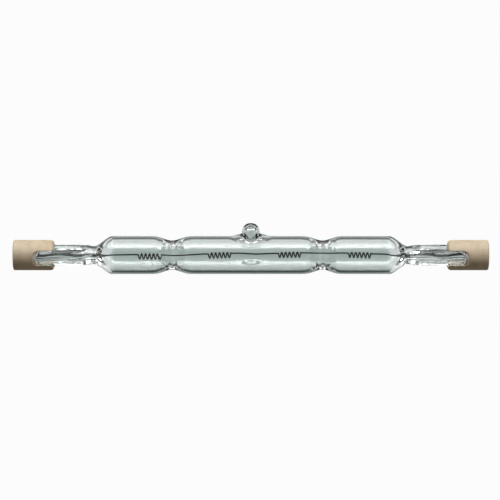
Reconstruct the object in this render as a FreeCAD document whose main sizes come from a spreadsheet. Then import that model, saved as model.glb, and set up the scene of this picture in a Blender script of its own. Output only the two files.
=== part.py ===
import FreeCAD, Part

import math
import os

from FreeCAD import Placement, Rotation, Vector

# Double-ended linear halogen bulb. X runs along the bulb, the exhaust tip points to +Z,
# and the press seals lie flat in the XY plane. The origin is the middle of the bulb's axis.

doc = FreeCAD.newDocument("linear_halogen_bulb")

# Driving dimensions, in millimetres. Positions along X count from the middle outward.
DIMENSIONS = (
    ("contact_distance", 114.2, "outer face of one end contact to that of the other"),
    ("tube_diameter", 9.4, "outside of the quartz tube"),
    ("tube_wall", 0.75, "wall of the quartz tube"),
    ("shoulder_length", 4.8, "from the full diameter down to the waist"),
    ("waist_width", 6.0, "waist beside the seal, across the flat of the seal"),
    ("waist_thickness", 4.3, "waist beside the seal, through the seal"),
    ("waist_length", 4.4, "from the waist to the full section of the seal"),
    ("cavity_end_depth", 3.2, "length of the closed end of the cavity past the straight tube"),
    ("cavity_end_width", 1.4, "blunt end of the cavity, across the flat of the seal"),
    ("cavity_end_thickness", 0.8, "blunt end of the cavity, through the seal"),
    ("seal_width", 7.3, "press seal, edge to edge"),
    ("seal_thickness", 3.8, "press seal over its two ribs"),
    ("seal_web", 2.4, "press seal between its ribs"),
    ("seal_rib", 1.8, "width of each rib"),
    ("seal_groove_start", 2.0, "start of the groove between the ribs, past the waist"),
    ("seal_length", 14.1, "from the waist to the outer end of the seal"),
    ("seal_end_gap", 0.8, "cement between the seal and the closed end of the slot"),
    ("left_neck_inset", 14.7, "middle of the left pressed neck, in from its shoulder"),
    ("right_neck_inset", 16.45, "middle of the right pressed neck, in from its shoulder"),
    ("neck_length", 7.8, "length of the dent of a pressed neck"),
    ("neck_height", 7.4, "outside of a neck, up and down"),
    ("neck_depth", 4.8, "outside of a neck, front to back, where it is pressed"),
    ("neck_bore_height", 4.6, "slot inside a neck, up and down"),
    ("neck_bore_depth", 2.6, "slot inside a neck, front to back"),
    ("tip_knob_diameter", 4.2, "melted-off knob of the exhaust tip"),
    ("tip_height", 3.4, "top of the knob above the tube"),
    ("tip_flare_length", 9.7, "flare under the knob, along the tube"),
    ("tip_flare_inset", 1.0, "flare short of the front and of the back of the tube"),
    ("tip_flare_rise", 1.05, "foot of the knob above the top of the tube"),
    ("tip_hollow_diameter", 2.2, "hollow left inside the tip"),
    ("tip_cover", 1.2, "glass above that hollow"),
    ("left_coil_inset", 9.145, "middle of the left coil, in from its shoulder"),
    ("right_coil_inset", 7.205, "middle of the right coil, in from its shoulder"),
    ("coil_turns", 6, "turns of each coil, a whole number"),
    ("coil_pitch", 0.97, "one turn of a coil to the next"),
    ("coil_radius", 0.55, "axis of a coil to the axis of its strand"),
    ("strand_diameter", 0.36, "strand that the coils and legs are made of"),
    ("leg_bend", 0.15, "a leg starts its bend into a coil this far from the coil"),
    ("leg_height", 0.38, "straight legs above the axis"),
    ("leg_slope_start", 3.4, "an end leg starts down this far before its lead"),
    ("leg_slope_length", 2.2, "length of that slope"),
    ("lead_drop", 0.2, "leads below the axis"),
    ("inner_lead_diameter", 0.64, "inner lead"),
    ("inner_lead_reach", 2.4, "inner lead inward from the waist"),
    ("outer_lead_diameter", 0.7, "outer lead"),
    ("foil_inset", 3.0, "foil outward from the waist"),
    ("foil_length", 6.6, "foil along the bulb"),
    ("foil_width", 2.5, "foil, edge to edge"),
    ("foil_thickness", 0.05, "middle of the foil"),
    ("foil_feather", 0.35, "width over which each edge of the foil thins out"),
    ("weld_length", 1.1, "flat of a lead that the foil is welded to"),
    ("cap_diameter", 7.5, "ceramic cap"),
    ("cap_length", 10.1, "ceramic cap"),
    ("cap_jaw_round", 0.9, "rounded inner end of the cap"),
    ("cap_end_bevel", 0.3, "bevelled outer end of the cap"),
    ("cap_slot_depth", 5.2, "slot for the seal, from the inner end of the cap"),
    ("cap_slot_round", 1.0, "corners of the slot's closed end"),
    ("seal_clearance", 0.05, "cement joint on each face of the seal"),
    ("cement_recess", 0.35, "cement below the outside of the cap"),
    ("cement_start", 0.5, "cement back from the inner end of the cap"),
    ("recess_diameter", 3.5, "recess in the outer end of the cap"),
    ("recess_depth", 1.7, "face of the contact below the end of the cap"),
    ("seat_diameter", 3.0, "seat of the contact at the bottom of the recess"),
    ("contact_thickness", 0.8, "end contact"),
    ("contact_clearance", 0.03, "around the contact in its seat"),
    ("contact_edge_bevel", 0.2, "bevelled outer edge of the contact"),
    ("lead_clearance", 0.1, "around the outer lead in the cap"),
)

sheet = doc.addObject("Spreadsheet::Sheet", "Sizes")
for row, (alias, size, meaning) in enumerate(DIMENSIONS, start=1):
    sheet.set(f"A{row}", alias)
    sheet.set(f"B{row}", str(size))
    sheet.set(f"C{row}", meaning)
    sheet.setAlias(f"B{row}", alias)
doc.recompute()

# Places that several pieces share, as expressions on the sheet.
CAP_END = "(Sizes.contact_distance / 2 + Sizes.recess_depth)"
CAP_START = f"({CAP_END} - Sizes.cap_length)"
SLOT_END = f"({CAP_START} + Sizes.cap_slot_depth)"
CONTACT_FACE = "(Sizes.contact_distance / 2)"
CONTACT_BACK = f"({CONTACT_FACE} - Sizes.contact_thickness)"
SLOT_WIDTH = "(Sizes.seal_thickness + 2 * Sizes.seal_clearance)"
SEAL_END = f"({SLOT_END} - Sizes.seal_end_gap)"
WAIST = f"({SEAL_END} - Sizes.seal_length)"
SHOULDER = f"({WAIST} - Sizes.shoulder_length)"
INNER_LEAD_START = f"({WAIST} - Sizes.inner_lead_reach)"
FOIL_START = f"({WAIST} + Sizes.foil_inset)"
FOIL_END = f"({FOIL_START} + Sizes.foil_length)"

# The two ends are the same pieces, turned half a turn about Z.
SIDES = {"right": 1, "left": -1}
ALONG_X = Rotation(Vector(0, 1, 0), 90)
LYING_FLAT = Rotation(Vector(1, 0, 0), 90)
OUTLINE_POINTS = 24
NECK_STATIONS = 6
SHOULDER_STATIONS = 4
ELLIPSE = 2.0
SEAL_SQUARENESS = 10.0
CAVITY_POINT = 0.6
FLARE_STATIONS = 24
FLARE_HOLLOW = 1.2
# The flare's border runs a little below the surface of the tube.
FLARE_MARGIN = 0.4
FLARE_SINK = 0.03
COILS = 4
# Each turn and the strand itself are drawn with flats, to keep the facets few.
TURN_STEPS = 12
STRAND_SIDES = 6
RIGHT_CORNERS = 1
# How far a cutter runs past the face that it starts from.
OVERSHOOT = 1
# Two places this near are the same.
NEAR = 1e-4


def size_of(alias):
    """A driving dimension, read from the sheet."""
    return float(sheet.get(alias))


def place_of(expression):
    """The present value of an expression on the sheet."""
    return float(sheet.evalExpression(expression))


def bind(feature, **expressions):
    """Tie properties of a feature to the sheet; a double underscore stands for a dot."""
    for name, expression in expressions.items():
        feature.setExpression(name.replace("__", "."), str(expression))
    return feature


def new_body(label, side):
    """An empty PartDesign body for one end of the bulb."""
    body = doc.addObject("PartDesign::Body", label)
    body.Label = label
    body.Placement = Placement(Vector(), Rotation(Vector(0, 0, 1), 0 if side > 0 else 180))
    return body


def rod(body, kind, name, diameter, start, end, drop="0"):
    """A round bar or bore along X inside a body, from start to end."""
    feature = body.newObject(f"PartDesign::{kind}Cylinder", name)
    feature.Placement = Placement(Vector(), ALONG_X)
    bind(feature, Radius=f"({diameter}) / 2", Height=f"({end}) - ({start})")
    bind(feature, Placement__Base__x=start, Placement__Base__z=f"-({drop})")
    return feature


def block(body, kind, name, start, end, depth, bottom, top):
    """A box inside a body, centred on Y, from start to end along X."""
    feature = body.newObject(f"PartDesign::{kind}Box", name)
    bind(feature, Length=f"({end}) - ({start})", Width=depth, Height=f"({top}) - ({bottom})")
    bind(feature, Placement__Base__x=start, Placement__Base__y=f"-({depth}) / 2")
    bind(feature, Placement__Base__z=bottom)
    return feature


def picked(base, wanted):
    """The edges of a feature that the wanted test picks, as a dress-up feature takes them."""
    doc.recompute()
    return base, [f"Edge{i}" for i, edge in enumerate(base.Shape.Edges, start=1) if wanted(edge)]


def round_edges(body, name, base, wanted, radius):
    """Fillet the picked edges of a feature."""
    edges = picked(base, wanted)
    fillet = body.newObject("PartDesign::Fillet", name)
    fillet.Base = edges
    return bind(fillet, Radius=radius)


def bevel_edges(body, name, base, wanted, size):
    """Chamfer the picked edges of a feature."""
    edges = picked(base, wanted)
    chamfer = body.newObject("PartDesign::Chamfer", name)
    chamfer.Base = edges
    return bind(chamfer, Size=size)


def is_circle_at(place, radius):
    """A test for the circular edge of one radius in the plane at one place along X."""

    def wanted(edge):
        if not isinstance(edge.Curve, Part.Circle):
            return False
        return abs(edge.Curve.Center.x - place) < NEAR and abs(edge.Curve.Radius - radius) < NEAR

    return wanted


def ceramic_cap(end, side):
    """Ceramic cap: a round bar, slotted from side to side for the seal, recessed for the contact."""
    body = new_body(f"cap_{end}", side)
    blank = rod(body, "Additive", f"blank_{end}", "Sizes.cap_diameter", CAP_START, CAP_END)
    radius = size_of("cap_diameter") / 2
    inner_rim = is_circle_at(place_of(CAP_START), radius)
    outer_rim = is_circle_at(place_of(CAP_END), radius)
    jaws = round_edges(body, f"jaw_round_{end}", blank, inner_rim, "Sizes.cap_jaw_round")
    bevel_edges(body, f"end_bevel_{end}", jaws, outer_rim, "Sizes.cap_end_bevel")
    slot = block(
        body, "Subtractive", f"slot_{end}", f"{CAP_START} - {OVERSHOOT}", SLOT_END,
        f"Sizes.cap_diameter + {OVERSHOOT}", f"-{SLOT_WIDTH} / 2", f"{SLOT_WIDTH} / 2",
    )

    def is_slot_corner(edge):
        middle = edge.CenterOfMass
        at_end = abs(middle.x - place_of(SLOT_END)) < NEAR
        at_side = abs(abs(middle.z) - place_of(SLOT_WIDTH) / 2) < NEAR
        return at_end and at_side and isinstance(edge.Curve, Part.Line)

    round_edges(body, f"slot_round_{end}", slot, is_slot_corner, "Sizes.cap_slot_round")
    rod(
        body, "Subtractive", f"recess_{end}", "Sizes.recess_diameter", CONTACT_FACE,
        f"{CAP_END} + {OVERSHOOT}",
    )
    rod(body, "Subtractive", f"seat_{end}", "Sizes.seat_diameter", CONTACT_BACK, CONTACT_FACE)
    rod(
        body, "Subtractive", f"lead_bore_{end}", "Sizes.outer_lead_diameter + 2 * Sizes.lead_clearance",
        f"{SLOT_END} - {OVERSHOOT}", CONTACT_FACE, "Sizes.lead_drop",
    )
    return body


def end_contact(end, side):
    """Nickel-plated button in its seat at the bottom of the recess."""
    body = new_body(f"contact_{end}", side)
    diameter = "Sizes.seat_diameter - 2 * Sizes.contact_clearance"
    button = rod(body, "Additive", f"button_{end}", diameter, CONTACT_BACK, CONTACT_FACE)
    radius = size_of("seat_diameter") / 2 - size_of("contact_clearance")
    outer_edge = is_circle_at(place_of(CONTACT_FACE), radius)
    bevel_edges(body, f"button_bevel_{end}", button, outer_edge, "Sizes.contact_edge_bevel")
    return body


def lead(body, name, diameter, start, end, flat_start, flat_end):
    """A lead wire with a flat on top of one end, which the foil is welded to."""
    rod(body, "Additive", name, diameter, start, end, "Sizes.lead_drop")
    block(
        body, "Subtractive", f"{name}_flat", flat_start, flat_end, f"2 * {diameter}",
        "-Sizes.foil_thickness / 2", diameter,
    )
    return body


def inner_lead(end, side):
    """Molybdenum lead from the cavity to the foil."""
    weld_end = f"({FOIL_START} + Sizes.weld_length)"
    return lead(
        new_body(f"inner_lead_{end}", side), f"inner_wire_{end}", "Sizes.inner_lead_diameter",
        INNER_LEAD_START, weld_end, FOIL_START, f"{weld_end} + {OVERSHOOT}",
    )


def outer_lead(end, side):
    """Lead from the foil through the cap to the contact."""
    weld_start = f"({FOIL_END} - Sizes.weld_length)"
    return lead(
        new_body(f"outer_lead_{end}", side), f"outer_wire_{end}", "Sizes.outer_lead_diameter",
        weld_start, CONTACT_BACK, f"{weld_start} - {OVERSHOOT}", FOIL_END,
    )


def sealing_foil(end, side):
    """Molybdenum foil, thinned to a feather edge on both long sides."""
    body = new_body(f"foil_{end}", side)
    full = "Sizes.foil_width / 2"
    flat = "(Sizes.foil_width / 2 - Sizes.foil_feather)"
    # Each half of the section tapers from the full width in the mid plane to the flat.
    for name, low, high, low_half, high_half in (
        ("upper", "0", "Sizes.foil_thickness / 2", full, flat),
        ("lower", "-Sizes.foil_thickness / 2", "0", flat, full),
    ):
        half = body.newObject("PartDesign::AdditiveWedge", f"{name}_{end}")
        half.Placement = Placement(Vector(), LYING_FLAT)
        bind(half, Ymin=low, Ymax=high, Zmin=f"-{low_half}", Zmax=low_half)
        bind(half, Z2min=f"-{high_half}", Z2max=high_half)
        bind(half, Xmin="0", Xmax="Sizes.foil_length", X2min="0", X2max="Sizes.foil_length")
        bind(half, Placement__Base__x=FOIL_START)
        doc.recompute()
    return body


def smooth_step(share):
    """Goes from 0 to 1 with level ends."""
    return share * share * (3 - 2 * share)


def between(first, last, share):
    """The value at a share of the way from first to last."""
    return first + (last - first) * share


def outline(place, half_depth, half_height, squareness):
    """Closed outline in the plane at one place along X: an ellipse, or squarer above ELLIPSE."""
    if squareness == ELLIPSE:
        curve = Part.Circle().toBSpline()
        for number, pole in enumerate(curve.getPoles(), start=1):
            curve.setPole(number, Vector(place, half_depth * pole.x, half_height * pole.y))
        return Part.Wire(curve.toShape())
    points = []
    for step in range(OUTLINE_POINTS):
        angle = 2 * math.pi * step / OUTLINE_POINTS
        across = math.copysign(abs(math.cos(angle)) ** (2 / squareness), math.cos(angle))
        up = math.copysign(abs(math.sin(angle)) ** (2 / squareness), math.sin(angle))
        points.append(Vector(place, half_depth * across, half_height * up))
    curve = Part.BSplineCurve()
    curve.interpolate(Points=points, PeriodicFlag=True)
    return Part.Wire(curve.toShape())


def mirrored(stretch):
    """The same stretch of stations on the other side of the middle."""
    return [(-place, *rest) for place, *rest in reversed(stretch)]


def neck_stretch(middle, half_tube, half_depth, half_height):
    """Stations through a pressed neck, from the round tube to its waist and back."""
    stations = []
    for number in range(NECK_STATIONS + 1):
        share = 2 * number / NECK_STATIONS - 1
        dent = (1 + math.cos(math.pi * share)) / 2
        place = middle + share * size_of("neck_length") / 2
        depth = between(half_tube, half_depth, dent)
        height = between(half_tube, half_height, dent)
        stations.append((place, depth, height, ELLIPSE))
    return stations


def stretched(left, right, radius, half_depth, half_height):
    """Solid of the shaped stretches at both ends, the two necks and the round tube between them."""
    shoulder = place_of(SHOULDER)
    necks = [
        neck_stretch(size_of("left_neck_inset") - shoulder, radius, half_depth, half_height),
        neck_stretch(shoulder - size_of("right_neck_inset"), radius, half_depth, half_height),
    ]
    runs = [left[-1], *necks, right[0]]
    solids = [
        Part.makeLoft([outline(*station) for station in stretch], True)
        for stretch in left + necks + right
    ]
    for before, after in zip(runs, runs[1:]):
        start = before[-1][0]
        length = after[0][0] - start
        solids.append(Part.makeCylinder(radius, length, Vector(start, 0, 0), Vector(1, 0, 0)))
    return solids[0].multiFuse(solids[1:]).Solids[0]


def glass_skin():
    """Outside of the envelope, without its tip."""
    tube = size_of("tube_diameter") / 2
    shoulder = place_of(SHOULDER)
    waist = place_of(WAIST)
    blade = waist + size_of("waist_length")
    waist_half = (size_of("waist_width") / 2, size_of("waist_thickness") / 2)
    seal_half = (size_of("seal_width") / 2, size_of("seal_thickness") / 2)
    down = []
    flat = []
    for number in range(SHOULDER_STATIONS + 1):
        share = number / SHOULDER_STATIONS
        step = smooth_step(share)
        down.append((
            between(shoulder, waist, share), between(tube, waist_half[0], step),
            between(tube, waist_half[1], step), ELLIPSE,
        ))
        flat.append((
            between(waist, blade, share), between(waist_half[0], seal_half[0], step),
            between(waist_half[1], seal_half[1], step), between(ELLIPSE, SEAL_SQUARENESS, share),
        ))
    straight = [flat[-1], (place_of(SEAL_END), *seal_half, SEAL_SQUARENESS)]
    right = [down, flat, straight]
    left = [mirrored(stretch) for stretch in reversed(right)]
    return stretched(left, right, tube, size_of("neck_depth") / 2, size_of("neck_height") / 2)


def cavity():
    """Inside of the envelope, without the hollow of the tip."""
    bore = size_of("tube_diameter") / 2 - size_of("tube_wall")
    shoulder = place_of(SHOULDER)
    depth = size_of("cavity_end_depth")
    blunt = (size_of("cavity_end_width") / 2, size_of("cavity_end_thickness") / 2)
    # Each end closes to a blunt point, as the hot tube draws in towards the seal.
    closed = []
    for number in range(SHOULDER_STATIONS + 1):
        angle = math.radians(90) * number / SHOULDER_STATIONS
        share = 1 - math.cos(angle)
        place = shoulder + depth * share ** CAVITY_POINT
        closed.append(
            (place, between(bore, blunt[0], share), between(bore, blunt[1], share), ELLIPSE)
        )
    half_depth = size_of("neck_bore_depth") / 2
    half_height = size_of("neck_bore_height") / 2
    return stretched([mirrored(closed)], [closed], bore, half_depth, half_height)


def seal_groove(side, face):
    """Cutter for the shallow groove between the ribs, on the upper or the lower face of one seal."""
    start = place_of(WAIST) + size_of("seal_groove_start")
    length = place_of(SEAL_END) - start + OVERSHOOT
    width = size_of("seal_width") - 2 * size_of("seal_rib")
    height = size_of("seal_thickness")
    half_web = size_of("seal_web") / 2
    bottom = half_web if face > 0 else -half_web - height
    bar = Part.makeBox(length, width, height, Vector(start + width / 2, -width / 2, bottom))
    end = Part.makeCylinder(width / 2, height, Vector(start + width / 2, 0, bottom))
    cutter = bar.fuse(end).removeSplitter()
    if side < 0:
        cutter.rotate(Vector(), Vector(0, 0, 1), 180)
    return cutter


def exhaust_tip():
    """Flare that rises from the tube, and the knob where the exhaust tube was melted off."""
    tube = size_of("tube_diameter") / 2
    knob = size_of("tip_knob_diameter") / 2
    half_length = size_of("tip_flare_length") / 2
    half_depth = tube - size_of("tip_flare_inset")
    rise = size_of("tip_flare_rise")

    def patch_point(along, across):
        """Point of the flare: the top of the tube, lifted the more the nearer it is to the knob."""
        x = along * (half_length + FLARE_MARGIN)
        y = across * (half_depth + FLARE_MARGIN)
        distance = math.hypot(x, y * half_length / half_depth)
        share = min((distance - knob) / (half_length - knob), 1)
        lift = rise * (1 - share) ** FLARE_HOLLOW - FLARE_SINK
        return Vector(x, y, math.sqrt(tube**2 - y**2) + lift)

    steps = [2 * number / FLARE_STATIONS - 1 for number in range(FLARE_STATIONS + 1)]
    surface = Part.BSplineSurface()
    surface.interpolate([[patch_point(along, across) for across in steps] for along in steps])
    flare = surface.toShape().extrude(Vector(0, 0, -size_of("tube_wall")))
    ball = Part.makeSphere(knob, Vector(0, 0, tube + size_of("tip_height") - knob))
    return [flare, ball]


def tip_hollow():
    """Hollow of the tip: a round bore from the cavity, with a domed top."""
    radius = size_of("tip_hollow_diameter") / 2
    top = size_of("tube_diameter") / 2 + size_of("tip_height") - size_of("tip_cover")
    bore = Part.makeCylinder(radius, top - radius)
    return bore.fuse(Part.makeSphere(radius, Vector(0, 0, top - radius)))


def cut_in_turn(base, tools, label):
    """A chain of cuts that takes each tool from the base; the last one gets the label."""
    for number, tool in enumerate(tools, start=1):
        less = doc.addObject("Part::Cut", f"{label}_less_{number}")
        less.Base = base
        less.Tool = tool
        less.Refine = False
        base = less
    base.Label = label
    return base


def quartz_envelope(metals):
    """The glass: its skin and tip, less the cavity, the grooves and the metal sealed into it."""
    solid = doc.addObject("Part::Feature", "glass_solid")
    grooves = [seal_groove(side, face) for side in SIDES.values() for face in (1, -1)]
    solid.Shape = glass_skin().cut(grooves).fuse(exhaust_tip())
    hollow = doc.addObject("Part::Feature", "hollow")
    hollow.Shape = cavity().fuse(tip_hollow())
    return cut_in_turn(solid, [hollow] + metals, "envelope")


def bonding_cement(end, side, neighbours):
    """Cement in the slot of a cap, in what its neighbours leave free."""
    turned = Rotation(Vector(0, 0, 1), 0 if side > 0 else 180)
    start = f"({CAP_START} + Sizes.cement_start)"
    slot = doc.addObject("Part::Box", f"cement_slot_{end}")
    slot.Placement = Placement(Vector(), turned)
    bind(slot, Length=f"{SLOT_END} - {start}", Width="Sizes.cap_diameter", Height=SLOT_WIDTH)
    bind(slot, Placement__Base__x=f"{side} * {start}")
    bind(slot, Placement__Base__y=f"{-side} * Sizes.cap_diameter / 2")
    bind(slot, Placement__Base__z=f"-{SLOT_WIDTH} / 2")
    within = doc.addObject("Part::Cylinder", f"cement_round_{end}")
    within.Placement = Placement(Vector(), turned.multiply(ALONG_X))
    bind(within, Radius="Sizes.cap_diameter / 2 - Sizes.cement_recess", Height=CAP_END)
    filling = doc.addObject("Part::MultiCommon", f"cement_filling_{end}")
    filling.Shapes = [slot, within]
    return cut_in_turn(filling, neighbours, f"cement_{end}")


def coil_points(middle):
    """Path through one coil, with the ends of its two legs, which meet it at the top."""
    radius = size_of("coil_radius")
    pitch = size_of("coil_pitch")
    bend = size_of("leg_bend")
    level = size_of("leg_height")
    steps = TURN_STEPS * round(size_of("coil_turns"))
    start = middle - pitch * steps / TURN_STEPS / 2
    points = [Vector(start - bend, 0, level)]
    # The first and the last step lie in the bends, so the path cuts their corners.
    for step in range(1, steps):
        angle = 2 * math.pi * step / TURN_STEPS
        points.append(Vector(
            start + pitch * step / TURN_STEPS, -radius * math.sin(angle),
            level - radius * (1 - math.cos(angle)),
        ))
    points.append(Vector(2 * middle - start + bend, 0, level))
    return points


def strand_section(start, heading):
    """Section of the strand: a regular outline of the same area as the round strand."""
    turn = 2 * math.pi / STRAND_SIDES
    corner = size_of("strand_diameter") / 2 * math.sqrt(turn / math.sin(turn))
    across = Vector(0, 1, 0)
    up = heading.cross(across).normalize()
    return Part.makePolygon([
        start + across * corner * math.cos(turn * step) + up * corner * math.sin(turn * step)
        for step in range(STRAND_SIDES + 1)
    ])


def tungsten_filament():
    """Filament: four coils joined by straight legs, as one strand from lead to lead."""
    lead_start = place_of(INNER_LEAD_START)
    slope_start = lead_start - size_of("leg_slope_start")
    end_leg = [
        Vector(slope_start, 0, size_of("leg_height")),
        Vector(slope_start + size_of("leg_slope_length"), 0, -size_of("lead_drop")),
        Vector(lead_start, 0, -size_of("lead_drop")),
    ]
    first_coil = size_of("left_coil_inset") - place_of(SHOULDER)
    last_coil = place_of(SHOULDER) - size_of("right_coil_inset")
    path = [Vector(-point.x, point.y, point.z) for point in reversed(end_leg)]
    for number in range(COILS):
        path += coil_points(between(first_coil, last_coil, number / (COILS - 1)))
    path += end_leg
    section = strand_section(path[0], (path[1] - path[0]).normalize())

    filament = doc.addObject("Part::Feature", "filament")
    filament.Label = "filament"
    filament.Shape = Part.makePolygon(path).makePipeShell([section], True, False, RIGHT_CORNERS)
    return filament


caps = {end: ceramic_cap(end, side) for end, side in SIDES.items()}
contacts = {end: end_contact(end, side) for end, side in SIDES.items()}
foils = {end: sealing_foil(end, side) for end, side in SIDES.items()}
inner_leads = {end: inner_lead(end, side) for end, side in SIDES.items()}
outer_leads = {end: outer_lead(end, side) for end, side in SIDES.items()}
doc.recompute()

metals = [*foils.values(), *inner_leads.values(), *outer_leads.values()]
envelope = quartz_envelope(metals)
cements = {
    end: bonding_cement(end, side, [caps[end], envelope, outer_leads[end]])
    for end, side in SIDES.items()
}
filament = tungsten_filament()
doc.recompute()

pieces = [envelope, filament, *metals, *caps.values(), *contacts.values(), *cements.values()]
for item in doc.Objects:
    if {"Invalid", "Error"} & set(item.State):
        raise RuntimeError(f"{item.Name} did not compute: {item.State}")
for piece in pieces:
    if piece.Shape.isNull() or not piece.Shape.isValid():
        raise RuntimeError(f"{piece.Label} has no valid shape")
    print(f"{piece.Label}: {len(piece.Shape.Solids)} solid, {piece.Shape.Volume:.3f} mm3")

os.makedirs("parts", exist_ok=True)
for piece in pieces:
    piece.Shape.exportStep(f"parts/{piece.Label}.step")
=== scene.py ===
"""Linear halogen bulb: its dressed surfaces, finishes, studio and camera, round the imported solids."""
import logging
import math
from dataclasses import dataclass
from enum import Enum

import bpy
import numpy as np
from bpy.types import Material, Node, NodeSocket, NodeTree, Object
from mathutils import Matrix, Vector


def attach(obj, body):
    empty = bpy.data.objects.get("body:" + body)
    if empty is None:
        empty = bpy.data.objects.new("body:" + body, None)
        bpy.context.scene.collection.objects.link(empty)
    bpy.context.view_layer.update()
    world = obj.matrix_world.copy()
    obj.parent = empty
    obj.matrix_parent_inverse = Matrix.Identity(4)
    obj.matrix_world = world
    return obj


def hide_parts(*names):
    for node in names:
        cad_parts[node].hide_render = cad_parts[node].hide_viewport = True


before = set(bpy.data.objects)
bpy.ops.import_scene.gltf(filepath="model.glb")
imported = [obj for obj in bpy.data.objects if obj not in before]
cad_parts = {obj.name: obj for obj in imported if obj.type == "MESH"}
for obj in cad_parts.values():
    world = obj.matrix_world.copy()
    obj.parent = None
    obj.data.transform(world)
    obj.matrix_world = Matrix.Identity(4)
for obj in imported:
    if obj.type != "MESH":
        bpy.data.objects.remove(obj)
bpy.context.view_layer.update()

log = logging.getLogger("bulb")

MM = 0.001
BODY = "root"
TURN = 2 * math.pi

Array = np.ndarray
Pair = tuple[float, float]
Triple = tuple[float, float, float]
Stops = tuple[tuple[float, str], ...]


class Side(Enum):
    """The two ends of the bulb, with the sign of X on that side."""

    LEFT = -1
    RIGHT = 1

    @property
    def label(self) -> str:
        """Name of the end, as the nodes have it."""
        return self.name.lower()


# Numbers and grids.

def smooth_step(share: Array) -> Array:
    """Soft step from 0 to 1: three times the square less twice the cube, held outside 0 and 1."""
    held = np.clip(share, 0.0, 1.0)
    return held * held * (3.0 - 2.0 * held)


def between(start: float, end: float, share: Array) -> Array:
    """Straight line from start to end by share."""
    return start + (end - start) * share


def bezier(first: Array, middle: Array, last: Array, share: Array) -> Array:
    """Quadratic curve: first, middle and last weighted (1-t)^2, 2t(1-t) and t^2.

    Args:
        first, middle, last: numbers, or arrays with one value for each column.
        share: places along the curve, one for each row.

    Returns:
        One row of values for each share.
    """
    t = share[:, None]
    return (1 - t) ** 2 * first + 2 * t * (1 - t) * middle + t * t * last


def joined_stations(places: tuple[float, ...], steps: tuple[int, ...]) -> Array:
    """Stations from each place to the next, in as many even steps as that run has.

    Args:
        places: ends of the runs, in order.
        steps: number of steps of each run.

    Returns:
        The stations, with both ends.
    """
    runs = zip(places, places[1:], steps)
    parts = [np.linspace(start, end, count, endpoint=False) for start, end, count in runs]
    return np.concatenate([*parts, places[-1:]])


def stacked(*parts: Array) -> Array:
    """Arrays spread to one shape and stacked: coordinates of points, or corners of faces."""
    return np.stack(np.broadcast_arrays(*parts), axis=-1)


def quads_between(numbers: Array, closed: bool) -> Array:
    """Quads of a grid of vertex numbers; where closed, the last column joins the first."""
    if closed:
        numbers = np.concatenate([numbers, numbers[:, :1]], axis=1)
    return stacked(numbers[:-1, :-1], numbers[1:, :-1], numbers[1:, 1:], numbers[:-1, 1:])


class Skin:
    """Vertices in millimetres and faces of one piece, gathered from several grids."""

    def __init__(self) -> None:
        """Start with nothing."""
        self.points: list[Array] = []
        self.faces: list[Array] = []
        self.count = 0

    def add_points(self, points: Array) -> Array:
        """Take in vertices.

        Args:
            points: an array whose last axis is X, Y, Z.

        Returns:
            The numbers of the new vertices, in the shape of the array without its last axis.
        """
        flat = points.reshape(-1, 3)
        numbers = self.count + np.arange(len(flat))
        self.points.append(flat)
        self.count += len(flat)
        return numbers.reshape(points.shape[:-1])

    def add_faces(self, faces: Array, flipped: bool = False) -> None:
        """Take in faces whose corners are along the last axis, turned over where flipped."""
        flat = faces.reshape(-1, faces.shape[-1])
        self.faces.append(flat[:, ::-1] if flipped else flat)

    def add_band(self, numbers: Array, closed: bool = True, flipped: bool = False) -> None:
        """Quads between rows of vertices that are there already, by their numbers."""
        self.add_faces(quads_between(numbers, closed), flipped)

    def add_fan(self, ring: Array, centre: Array, flipped: bool = False) -> None:
        """Triangles from a closed ring of vertices to one new vertex at its centre."""
        top = self.add_points(centre[None, :])
        self.add_faces(stacked(ring, top[0], np.roll(ring, -1)), flipped)

    def add_tube(self, rings: Array, start: Array, end: Array, flipped: bool = False) -> None:
        """A tube through rings of points, closed at each end by a fan to a point.

        Args:
            rings: rows of points.
            start, end: the points that close it.
            flipped: whether its faces are turned over.
        """
        numbers = self.add_points(rings)
        self.add_band(numbers, flipped=flipped)
        self.add_fan(numbers[0], start, flipped=not flipped)
        self.add_fan(numbers[-1], end, flipped=flipped)

    def mirrored(self) -> "Skin":
        """The same skin on the other side of the YZ plane, with its faces still outward."""
        other = Skin()
        other.points = [part * np.array([-1.0, 1.0, 1.0]) for part in self.points]
        other.faces = [part[:, ::-1] for part in self.faces]
        other.count = self.count
        return other

    def make(self, name: str) -> Object:
        """Put the skin into a smooth-shaded mesh object at the origin, in metres."""
        mesh = bpy.data.meshes.new(name)
        points = np.concatenate(self.points) * MM
        mesh.vertices.add(len(points))
        mesh.vertices.foreach_set("co", points.astype(np.float32).ravel())
        corners = np.concatenate([part.ravel() for part in self.faces]).astype(np.int32)
        sizes = np.concatenate([np.full(len(part), part.shape[1]) for part in self.faces])
        starts = np.concatenate([[0], np.cumsum(sizes)[:-1]]).astype(np.int32)
        mesh.loops.add(len(corners))
        mesh.loops.foreach_set("vertex_index", corners)
        mesh.polygons.add(len(starts))
        mesh.polygons.foreach_set("loop_start", starts)
        mesh.polygons.foreach_set("use_smooth", np.ones(len(starts), dtype=bool))
        mesh.update(calc_edges=True)
        mesh.validate()
        piece = bpy.data.objects.new(name, mesh)
        bpy.context.scene.collection.objects.link(piece)
        return piece


def lathe(profile: Array, sides: int, drop: float = 0.0) -> Skin:
    """A closed form turned about an axis along X: each point at x, radius goes round in a ring.

    Args:
        profile: rows of x and radius in millimetres, from one end of the axis to the other.
        sides: vertices in each ring.
        drop: how far the axis lies below Z = 0.

    Returns:
        The skin, closed with a point at each end of the axis.
    """
    angle = np.arange(sides) * TURN / sides
    x, radius = profile[1:-1, :1], profile[1:-1, 1:]
    start, end = (np.array([profile[row, 0], 0.0, -drop]) for row in (0, -1))
    skin = Skin()
    skin.add_tube(
        stacked(x, radius * np.sin(angle), radius * np.cos(angle) - drop), start, end, flipped=True
    )
    return skin


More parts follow.
